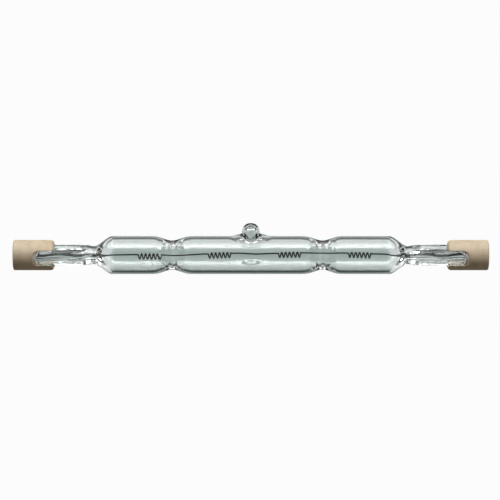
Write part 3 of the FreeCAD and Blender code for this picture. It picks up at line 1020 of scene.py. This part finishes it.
@dataclass
class CeramicCap:
    """The slotted ceramic cap of one end: two jaws over the seal, and a recess for the contact."""

    side: Side
    radius: float = 3.75
    start: float = 48.7
    end: float = 58.8
    jaw_round: float = 0.9
    end_bevel: float = 0.3
    slot_half: float = 1.95
    slot_end: float = 53.9
    slot_round: float = 1.6
    lip: float = 0.16
    edge: float = 0.12
    recess: float = 1.75
    recess_floor: float = 57.1
    seat: float = 1.5
    seat_floor: float = 56.3
    face_steps: int = 8
    slot_steps: int = 24
    end_steps: int = 5
    wall_rows: int = 25
    wall_crowding: float = 1.9
    across: int = 25

    def wall_radius(self, x: Array) -> Array:
        """Outer radius at x: full, less the quarter round of the jaws' inner end."""
        short = np.clip(self.jaw_round - (x - self.start), 0.0, self.jaw_round)
        return self.radius - self.jaw_round + np.sqrt(self.jaw_round ** 2 - short ** 2)

    def slot_distance(self, x: Array, arc: Array) -> Array:
        """Distance on the unrolled wall to the rounded slot.

        Args:
            x: places along the cap.
            arc: lengths round the wall from the slot's middle.

        Returns:
            The distance at each, below 0 inside the slot.
        """
        half = self.radius * math.asin(self.slot_half / self.radius)
        beyond = np.clip(x - (self.slot_end - self.slot_round), 0.0, None)
        beside = np.clip(np.abs(arc) - (half - self.slot_round), 0.0, None)
        return np.hypot(beyond, beside) - self.slot_round

    def mouth(self) -> tuple[Array, Array]:
        """Line of the jaws' end faces and the slot in the XZ plane, from the upper jaw to the lower.

        Straight runs joined by quarter rounds: over the lip of the jaw, along the slot's wall, and
        round the corner into its closed end.

        Returns:
            X and Z along the line.
        """
        turn = np.linspace(0.0, math.pi / 2, 7)
        top = self.radius - self.jaw_round
        half, lip, corner = self.slot_half, self.lip, self.slot_round
        wall_end = self.slot_end - corner
        x = np.concatenate([
            np.full(self.face_steps, self.start),
            self.start + lip * (1 - np.cos(turn)),
            np.linspace(self.start + lip, wall_end, self.slot_steps + 2)[1:-1],
            wall_end + corner * np.sin(turn),
            np.full(self.end_steps, self.slot_end),
        ])
        z = np.concatenate([
            np.linspace(top, half + lip, self.face_steps, endpoint=False),
            half + lip * (1 - np.sin(turn)),
            np.full(self.slot_steps, half),
            half - corner * (1 - np.cos(turn)),
            np.linspace(half - corner, 0.0, self.end_steps + 1)[1:],
        ])
        return np.concatenate([x, x[-2::-1]]), np.concatenate([z, -z[-2::-1]])

    def rim(self) -> Array:
        """Rows of x and radius over the bevel, down the recess and into the contact's seat.

        What is added to a size, or taken off it, eases the corner there.
        """
        end, floor = self.end, self.recess_floor
        return np.array([
            (end - 0.22, self.radius - 0.02), (end - 0.03, self.radius - 0.24),
            (end, self.radius - 0.32), (end, self.recess + 0.2),
            (end - 0.03, self.recess + 0.06), (end - 0.12, self.recess),
            (floor + 0.06, self.recess), (floor, self.recess - 0.06),
            (floor, self.seat + 0.04), (floor - 0.04, self.seat),
            (self.seat_floor, self.seat), (self.seat_floor, self.seat * 0.4),
        ])

    def skin(self) -> Skin:
        """The cap of the right end as one closed skin.

        The mouth is a sheet: its line in the XZ plane, carried across Y up to the round wall. From
        the sheet's border the wall runs outward by rows that share out X and the angle evenly to
        the far rim, and turned rings follow over the bevel into the recess and the contact's seat.
        """
        skin = Skin()
        x, z = self.mouth()
        half = np.sqrt(np.clip((self.wall_radius(x) - self.edge) ** 2 - z ** 2, 0.0, None))
        across = half[1:-1, None] * np.linspace(-1.0, 1.0, self.across)
        sheet = stacked(x[1:-1, None], across, z[1:-1, None])
        numbers = skin.add_points(sheet)
        skin.add_band(numbers, closed=False, flipped=True)
        # The border of the sheet, back side down and front side up again, with the sheet's own
        # first and last rows as its ends.
        border = np.concatenate([
            numbers[0], numbers[1:-1, -1], numbers[-1, ::-1], numbers[-2:0:-1, 0],
        ])
        places = sheet.reshape(-1, 3)[border]
        angle = np.unwrap(np.arctan2(places[:, 1], places[:, 2]))
        even = angle[0] + (np.arange(len(border)) / len(border)) * TURN
        even = even - even[self.across // 2]
        rows = np.linspace(0.0, 1.0, self.wall_rows + 1)[1:, None]
        far = self.end - self.end_bevel
        wall_x = places[:, 0] + (far - places[:, 0]) * rows ** self.wall_crowding
        wall_angle = angle + (even - angle) * smooth_step(rows)
        folded = np.abs((wall_angle + math.pi) % TURN - math.pi)
        arc = self.radius * (folded - math.pi / 2)
        away = np.clip(self.slot_distance(wall_x, arc), 0.0, self.edge)
        lowered = self.edge - np.sqrt(self.edge ** 2 - (self.edge - away) ** 2)
        wall = self.wall_radius(wall_x) - lowered
        rim_x, rim = self.rim()[:, :1], self.rim()[:, 1:]
        more = skin.add_points(np.concatenate([
            stacked(wall_x, wall * np.sin(wall_angle), wall * np.cos(wall_angle)),
            stacked(rim_x, rim * np.sin(even), rim * np.cos(even)),
        ]))
        skin.add_band(np.concatenate([border[None], more]), flipped=True)
        skin.add_fan(more[-1], np.array([self.seat_floor, 0.0, 0.0]), flipped=True)
        return skin

    def build(self, finish: Material) -> None:
        """Build the cap of this end."""
        place_piece(self.skin(), "ceramic_cap", finish, "cap", self.side)


@dataclass
class Contact:
    """The turned contact in the recess of one cap."""

    side: Side
    radius: float = 1.47
    back: float = 56.3
    face: float = 57.1
    bevel: float = 0.2
    groove: Pair = (0.86, 1.02)
    dimple: float = 0.3
    depth: float = 0.03
    sides: int = 72

    def build(self, finish: Material) -> None:
        """Build the contact: a turned button with a bevelled edge, a shallow groove and a dimple.

        What is added to a size, or taken off it, eases the corner there.
        """
        face, radius, bevel = self.face, self.radius, self.bevel
        inner, outer = self.groove
        low = face - self.depth
        profile = np.array([
            (self.back, 0.0), (self.back, radius * 0.5), (self.back, radius - 0.05),
            (self.back + 0.05, radius), (face - bevel - 0.03, radius),
            (face - bevel + 0.01, radius - 0.02), (face - 0.01, radius - bevel),
            (face, radius - bevel - 0.04), (face, outer), (low, outer - 0.04), (low, inner + 0.04),
            (face, inner), (face, self.dimple), (face - 0.02, self.dimple * 0.4), (low, 0.0),
        ])
        skin = lathe(profile, self.sides)
        place_piece(skin, "turned_contact", finish, "contact", self.side)


def dress_node(node: str, finish: Material) -> None:
    """Give a node that keeps its own shape its finish."""
    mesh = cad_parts[node].data
    mesh.materials.clear()
    mesh.materials.append(finish)
    log.info("%s: node kept, %s", node, finish.name)


# The studio.

def seen_not_lit(tree: NodeTree) -> Node:
    """1 for what the camera sees, directly or in metal and glass, and 0 for light."""
    rays = add_node(tree, "LightPath").outputs
    seen = rays["Is Camera Ray"]
    for ray in ("Is Glossy Ray", "Is Transmission Ray"):
        seen = add_node(tree, "Math", {0: seen, 1: rays[ray]}, operation="MAXIMUM")
    return seen


def colour_by_slope(tree: NodeTree, rise: NodeSocket, out: Node | NodeSocket,
                    stops: Stops, low: float, high: float) -> Node:
    """Colour by the slope from the bulb, whose tangent is the rise over the way out.

    Args:
        tree: node tree that takes the nodes.
        rise, out: rise and way out from the bulb.
        stops: slopes in degrees and their colours, the two ends first.
        low, high: slopes in degrees where the colours start and end.

    Returns:
        The colour's node.
    """
    slope = add_node(tree, "Math", {0: rise, 1: out}, operation="ARCTAN2")
    share = add_node(tree, "MapRange", {
        "Value": slope, "From Min": math.radians(low), "From Max": math.radians(high),
    })
    places = tuple(((degrees - low) / (high - low), colour) for degrees, colour in stops)
    return add_node(tree, "ValToRGB", {"Fac": share}, places)


@dataclass(frozen=True)
class FloorPaint(Finish):
    """Matt pale paint that is seen nearly white, with a share of its shading and shadow."""

    name: str = "floor_matt_paint"
    dark: str = "#E9E9E9"
    light: str = "#EFEFEF"
    speck_mm: float = 3.0
    white_share: float = 0.97

    def shader(self, tree: NodeTree, place: NodeSocket) -> Node:
        """Paint for the light, and mostly even white where it is seen."""
        speck = pattern(tree, place, (self.speck_mm,) * 3, "TexNoise")
        colour = add_node(tree, "ValToRGB", {"Fac": speck}, ((0.0, self.dark), (1.0, self.light)))
        paint = add_node(tree, "BsdfDiffuse", {"Color": colour})
        white = add_node(tree, "Emission", {"Color": linear("#FFFFFF"), "Strength": 1.0})
        share = add_node(tree, "MapRange", {
            "Value": seen_not_lit(tree), "To Min": 0.0, "To Max": self.white_share,
        })
        return add_node(tree, "MixShader", {0: share, 1: paint, 2: white})


@dataclass(frozen=True)
class CardPaint(Finish):
    """Grey-green card whose colour goes by the slope from the bulb.

    It is dark underneath, grey-green level with the bulb and dark again above, which gives the
    glass its body colour and its dark edges. Aside it turns paler and greyer, and at the far sides
    dark, for the shoulders and necks.
    """

    name: str = "studio_card_grey_green"
    radius: float = 0.24
    sides: float = 1.9
    slopes: Stops = (
        (-90, "#5A605E"), (38, "#B8C0BD"), (-62, "#3A403E"), (-44, "#464C4A"), (-34, "#AEB8B4"),
        (-22, "#AAB5B1"), (-8, "#A6B2AE"), (6, "#C6CECB"), (14, "#484E4C"), (33, "#3C4240"),
    )
    middle: float = 0.26
    aside: float = 0.48

    def shader(self, tree: NodeTree, place: NodeSocket) -> Node:
        """Colour by slope, level and greyness by the share of the radius along X."""
        split = add_node(tree, "SeparateXYZ", {"Vector": place}).outputs
        flat = add_node(tree, "CombineXYZ", {"X": split["X"], "Y": split["Y"]})
        out = add_node(tree, "VectorMath", {0: flat}, operation="LENGTH")
        colour = colour_by_slope(tree, split["Z"], out.outputs["Value"], self.slopes, -90, 45)
        along = add_node(tree, "Math", {0: split["X"]}, operation="ABSOLUTE")
        share = add_node(tree, "Math", {0: along, 1: self.radius}, operation="DIVIDE")
        level = add_node(tree, "ValToRGB", {"Fac": share}, (
            (self.middle, "#BCBCBC"), (0.95, "#606060"), (self.aside, "#EAEAEA"), (0.75, "#FFFFFF"),
        ))
        grey = add_node(tree, "MapRange", {
            "Value": share, "From Min": self.middle, "From Max": self.aside,
            "To Min": 1.0, "To Max": 0.3,
        })
        return add_node(tree, "Emission", {
            "Color": add_node(tree, "HueSaturation", {"Color": colour, "Saturation": grey}),
            "Strength": add_node(tree, "Math", {0: level, 1: self.sides}, operation="MULTIPLY"),
        })


@dataclass(frozen=True)
class GlowingSilk(Finish):
    """Silk with a soft glow by the slope from the bulb's axis.

    One bright band towards the camera gives the glass its two long highlights, and a softer stretch
    over the top and behind lights its upper edge.
    """

    name: str = "studio_canopy_silk"
    glow: float = 10.0
    slopes: Stops = (
        (38, "#505050"), (142, "#606060"), (58, "#606060"), (65, "#F0F0F0"), (73, "#F8F8F8"),
        (88, "#E8E8E8"), (94, "#B0B0B0"), (103, "#ACACAC"), (112, "#808080"),
    )

    def shader(self, tree: NodeTree, place: NodeSocket) -> Node:
        """Glow by the slope in the YZ plane, from 0 towards the camera to half a turn."""
        split = add_node(tree, "SeparateXYZ", {"Vector": place}).outputs
        front = add_node(tree, "Math", {0: split["Y"], 1: -1.0}, operation="MULTIPLY")
        colour = colour_by_slope(tree, split["Z"], front, self.slopes, 0, 180)
        return add_node(tree, "Emission", {"Color": colour, "Strength": self.glow})


def aim(item: Object, elevation: float, away: float, target: Vector) -> None:
    """Stand a lamp or camera in front of a target and above it, facing it.

    Args:
        item: the lamp or camera.
        elevation: degrees above the floor.
        away: metres from the target.
        target: place that it faces.
    """
    rise = math.radians(elevation)
    item.location = target + away * Vector((0.0, -math.cos(rise), math.sin(rise)))
    item.rotation_euler = (math.radians(90) - rise, 0.0, 0.0)
    bpy.context.scene.collection.objects.link(item)


@dataclass
class Studio:
    """Pale floor, white surround, soft lamps, and the card and canopy that the glass shows."""

    floor_level: float = -0.55
    floor_half: Pair = (5.0, 5.0)
    ambient: float = 0.12
    fill: str = "#FFE9D6"
    card_hole: float = 0.002
    card_bottom: float = -0.10
    card_top: float = 0.19
    card_rows: int = 24
    card_sides: int = 96
    canopy_level: float = 0.34
    canopy_half: Pair = (1.6, 0.44)

    def world(self) -> None:
        """White surround where it is seen, and a plain low level of light elsewhere."""
        world = bpy.data.worlds.new("studio")
        bpy.context.scene.world = world
        world.use_nodes = True
        tree = world.node_tree
        tree.nodes.clear()
        seen = seen_not_lit(tree)
        colour = add_node(
            tree, "Mix", {0: seen, 6: linear(self.fill), 7: linear("#FFFFFF")}, data_type="RGBA"
        )
        strength = add_node(tree, "MapRange", {"Value": seen, "To Min": self.ambient, "To Max": 1.0})
        shade = add_node(tree, "Background", {"Color": colour.outputs[2], "Strength": strength})
        add_node(tree, "OutputWorld", {"Surface": shade})

    def put_up(self, skin: Skin, name: str, paint: Finish, reflected: bool = True) -> None:
        """Put up a stage piece.

        Args:
            skin: its surface.
            name: its name.
            paint: its finish.
            reflected: whether only metal and glass show it.
        """
        piece = skin.make(name)
        piece.data.materials.append(paint.make())
        if reflected:
            piece.visible_camera = False
            piece.visible_diffuse = False
            piece.visible_shadow = False

    def card(self, paint: CardPaint) -> None:
        """A ring of card round the bulb: a disc under it, then a wall, turned about Z."""
        hole, radius, low, high = (
            v / MM for v in (self.card_hole, paint.radius, self.card_bottom, self.card_top)
        )
        rows = self.card_rows
        out = np.concatenate([np.linspace(hole, radius, rows), np.full(rows, radius)])[:, None]
        level = np.concatenate([np.full(rows, low), np.linspace(low, high, rows + 1)[1:]])[:, None]
        angle = np.arange(self.card_sides) * TURN / self.card_sides
        skin = Skin()
        skin.add_band(skin.add_points(stacked(out * np.cos(angle), out * np.sin(angle), level)))
        self.put_up(skin, "studio_card", paint)

    def lamp(self, name: str, elevation: float, away: float, size: Pair, level: float) -> None:
        """A soft lamp aimed at the bulb.

        Args:
            name: name of the lamp.
            elevation: degrees above the floor.
            away: metres from the bulb.
            size: metres along and across.
            level: brightness of its face, where 1 shows as white.
        """
        light = bpy.data.lights.new(name, "AREA")
        light.shape = "RECTANGLE"
        light.size, light.size_y = size
        light.energy = level * math.pi * size[0] * size[1]
        lamp = bpy.data.objects.new(name, light)
        lamp.visible_camera = False
        lamp.visible_glossy = False
        lamp.visible_transmission = False
        aim(lamp, elevation, away, Vector())

    def build(self) -> None:
        """Build the studio."""
        self.world()
        floor = flat_sheet(self.floor_half, self.floor_level, 1)
        self.put_up(floor, "floor", FloorPaint(), reflected=False)
        self.card(CardPaint())
        canopy = flat_sheet(self.canopy_half, self.canopy_level, 8)
        self.put_up(canopy, "studio_canopy", GlowingSilk())
        self.lamp("top_softbox", 77.0, 0.42, (0.70, 0.30), 2.2)
        self.lamp("front_strip", 74.0, 0.36, (0.62, 0.085), 3.0)
        log.info("studio: surround, floor, card, canopy and lamps")


@dataclass
class View:
    """The camera of the photograph: level with the bulb's length and a little above it."""

    elevation: float = 16.0
    lens: float = 200.0
    sensor: float = 36.0
    width: float = 0.12385
    target: Triple = (-0.00021, 0.0, 0.00131)

    def build(self) -> None:
        """Build the camera."""
        data = bpy.data.cameras.new("camera")
        data.lens = self.lens
        data.sensor_width = self.sensor
        data.clip_start = 0.01
        data.clip_end = 50.0
        camera = bpy.data.objects.new("camera", data)
        away = self.width * self.lens / self.sensor
        aim(camera, self.elevation, away, Vector(self.target))
        bpy.context.scene.camera = camera
        log.info("camera: %.3f m away", away)


def main() -> None:
    """Build the bulb, its studio and its camera."""
    logging.basicConfig(level=logging.INFO, format="%(name)s: %(message)s")
    bpy.context.scene.view_settings.view_transform = "Standard"
    quartz = FusedQuartz().make()
    # Dark grey, hardly shining.
    tungsten = FineMetal(
        "tungsten_drawn_wire", (0.34, 0.55), "#0C0E0F", "#26292A",
        stain_mm=(0.25, 0.08, 0.08), line_mm=(0.25, 0.08, 0.08),
    ).make()
    # Mid grey, with straight fine lines along the rod.
    rods = FineMetal(
        "molybdenum_drawn_rod", (0.26, 0.5), "#4A4D4E", "#74787A",
        stain_mm=(1.3, 0.9, 0.9), line_mm=(1.6, 0.05, 0.05),
    ).make()
    # Lighter, silky, with the rolling marks along the foil.
    sheet = FineMetal(
        "molybdenum_rolled_foil", (0.26, 0.5), "#5E625F", "#8B908C",
        stain_mm=(1.3, 0.9, 0.9), line_mm=(2.4, 0.07, 0.3),
    ).make()
    steatite = FiredSteatite().make()
    cement = CeramicCement().make()
    nickel = NickelPlate().make()

    Envelope().build(quartz)
    Filament().build(tungsten)
    for side in Side:
        SealMetals(side).build(rods, sheet)
        CeramicCap(side).build(steatite)
        Contact(side).build(nickel)
        dress_node(f"cement_{side.label}", cement)
    Studio().build()
    View().build()


if __name__ == "__main__":
    main()
